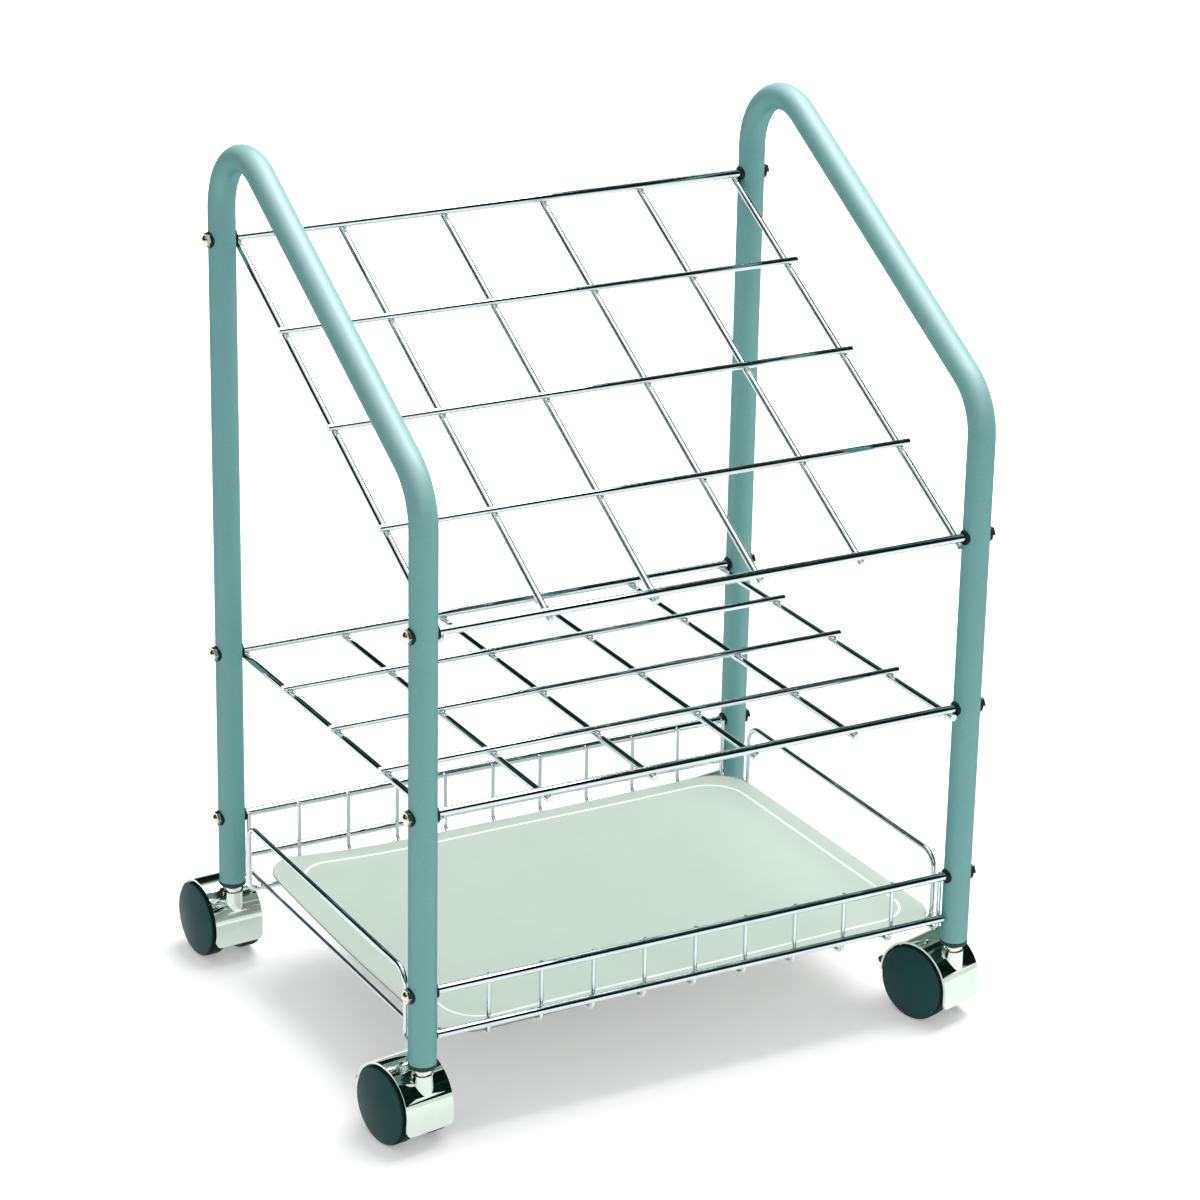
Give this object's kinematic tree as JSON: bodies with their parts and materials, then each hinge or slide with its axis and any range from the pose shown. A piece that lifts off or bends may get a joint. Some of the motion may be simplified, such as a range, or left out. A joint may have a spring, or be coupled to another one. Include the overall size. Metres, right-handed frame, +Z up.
{
  "type": "rolling file cart",
  "caption": "Wheeled cart for rolled drawings: bent-tube side frames carry a sloped and a level wire shelf and a wire basket with a liner, on hooded twin-wheel casters.",
  "frame": {"origin": "on the floor under the middle of the cart's outline, casters included", "axes": "+Z up, +Y towards the rear, which is the high end of the sloped shelf, +X to the right as seen from the front"},
  "size_m": [0.4636, 0.3772, 0.6129],
  "materials": {
    "teal_enamel": "satin",
    "wire_chrome": "polished",
    "caster_chrome": "polished",
    "plated_steel": "satin",
    "nickel": "polished",
    "dark_plastic": "matte",
    "liner_plastic": "satin",
    "wheel_plastic": "gloss",
    "pedal_plastic": "gloss"
  },
  "bodies": {
    "frame": {"acorn_nuts": "nickel", "basket_bottom_wires": "wire_chrome", "basket_left_guard": "wire_chrome", "basket_lower_rods": "wire_chrome", "basket_right_guard": "wire_chrome", "basket_tie_rods": "wire_chrome", "basket_u_wires": "wire_chrome", "front_left_caster_stem": "plated_steel", "front_left_stem_socket": "dark_plastic", "front_right_caster_stem": "plated_steel", "front_right_stem_socket": "dark_plastic", "inner_saddle_washers": "dark_plastic", "left_side_frame": "teal_enamel", "liner": "liner_plastic", "middle_shelf_cross_wires": "wire_chrome", "middle_shelf_long_wires": "wire_chrome", "middle_shelf_tie_rods": "wire_chrome", "outer_saddle_washers": "dark_plastic", "rear_left_caster_stem": "plated_steel", "rear_left_stem_socket": "dark_plastic", "rear_right_caster_stem": "plated_steel", "rear_right_stem_socket": "dark_plastic", "right_side_frame": "teal_enamel", "stem_grip_rings": "plated_steel", "upper_shelf_cross_wires": "wire_chrome", "upper_shelf_long_wires": "wire_chrome", "upper_shelf_tie_rods": "wire_chrome"},
    "front_left_caster": {"front_left_caster_hood": "caster_chrome", "front_left_caster_axle": "caster_chrome", "front_left_brake_pin": "caster_chrome"},
    "front_left_left_wheel": {"front_left_caster_left_wheel": "wheel_plastic"},
    "front_left_right_wheel": {"front_left_caster_right_wheel": "wheel_plastic"},
    "front_left_brake": {"front_left_brake_pedal": "pedal_plastic"},
    "front_right_caster": {"front_right_caster_hood": "caster_chrome", "front_right_caster_axle": "caster_chrome", "front_right_brake_pin": "caster_chrome"},
    "front_right_left_wheel": {"front_right_caster_left_wheel": "wheel_plastic"},
    "front_right_right_wheel": {"front_right_caster_right_wheel": "wheel_plastic"},
    "front_right_brake": {"front_right_brake_pedal": "pedal_plastic"},
    "rear_left_caster": {"rear_left_caster_hood": "caster_chrome", "rear_left_caster_axle": "caster_chrome"},
    "rear_left_left_wheel": {"rear_left_caster_left_wheel": "wheel_plastic"},
    "rear_left_right_wheel": {"rear_left_caster_right_wheel": "wheel_plastic"},
    "rear_right_caster": {"rear_right_caster_hood": "caster_chrome", "rear_right_caster_axle": "caster_chrome"},
    "rear_right_left_wheel": {"rear_right_caster_left_wheel": "wheel_plastic"},
    "rear_right_right_wheel": {"rear_right_caster_right_wheel": "wheel_plastic"}
  },
  "joints": [
    {"name": "front_left_swivel", "type": "hinge", "parent": "frame", "child": "front_left_caster", "pos_m": [-0.20334, -0.17374, 0.045], "axis": [0, 0, 1], "continuous": true},
    {"name": "front_left_left_wheel_spin", "type": "hinge", "parent": "front_left_caster", "child": "front_left_left_wheel", "pos_m": [-0.20647, -0.15399, 0.0272], "axis": [0.9877, 0.1564, 0], "continuous": true},
    {"name": "front_left_right_wheel_spin", "type": "hinge", "parent": "front_left_caster", "child": "front_left_right_wheel", "pos_m": [-0.20647, -0.15399, 0.0272], "axis": [0.9877, 0.1564, 0], "continuous": true},
    {"name": "front_left_brake_press", "type": "hinge", "parent": "front_left_caster", "child": "front_left_brake", "pos_m": [-0.20934, -0.13585, 0.02945], "axis": [0.9877, 0.1564, 0], "range_deg": [-14, 0]},
    {"name": "front_right_swivel", "type": "hinge", "parent": "frame", "child": "front_right_caster", "pos_m": [0.20966, -0.17374, 0.045], "axis": [0, 0, 1], "continuous": true},
    {"name": "front_right_left_wheel_spin", "type": "hinge", "parent": "front_right_caster", "child": "front_right_left_wheel", "pos_m": [0.20381, -0.15461, 0.0272], "axis": [0.9563, 0.2924, 0], "continuous": true},
    {"name": "front_right_right_wheel_spin", "type": "hinge", "parent": "front_right_caster", "child": "front_right_right_wheel", "pos_m": [0.20381, -0.15461, 0.0272], "axis": [0.9563, 0.2924, 0], "continuous": true},
    {"name": "front_right_brake_press", "type": "hinge", "parent": "front_right_caster", "child": "front_right_brake", "pos_m": [0.19844, -0.13705, 0.02945], "axis": [0.9563, 0.2924, 0], "range_deg": [-14, 0]},
    {"name": "rear_left_swivel", "type": "hinge", "parent": "frame", "child": "rear_left_caster", "pos_m": [-0.20334, 0.13626, 0.045], "axis": [0, 0, 1], "continuous": true},
    {"name": "rear_left_left_wheel_spin", "type": "hinge", "parent": "rear_left_caster", "child": "rear_left_left_wheel", "pos_m": [-0.20474, 0.15621, 0.0272], "axis": [0.9976, 0.0698, 0], "continuous": true},
    {"name": "rear_left_right_wheel_spin", "type": "hinge", "parent": "rear_left_caster", "child": "rear_left_right_wheel", "pos_m": [-0.20474, 0.15621, 0.0272], "axis": [0.9976, 0.0698, 0], "continuous": true},
    {"name": "rear_right_swivel", "type": "hinge", "parent": "frame", "child": "rear_right_caster", "pos_m": [0.20966, 0.13626, 0.045], "axis": [0, 0, 1], "continuous": true},
    {"name": "rear_right_left_wheel_spin", "type": "hinge", "parent": "rear_right_caster", "child": "rear_right_left_wheel", "pos_m": [0.20619, 0.15596, 0.0272], "axis": [0.9848, 0.1736, 0], "continuous": true},
    {"name": "rear_right_right_wheel_spin", "type": "hinge", "parent": "rear_right_caster", "child": "rear_right_right_wheel", "pos_m": [0.20619, 0.15596, 0.0272], "axis": [0.9848, 0.1736, 0], "continuous": true}
  ]
}
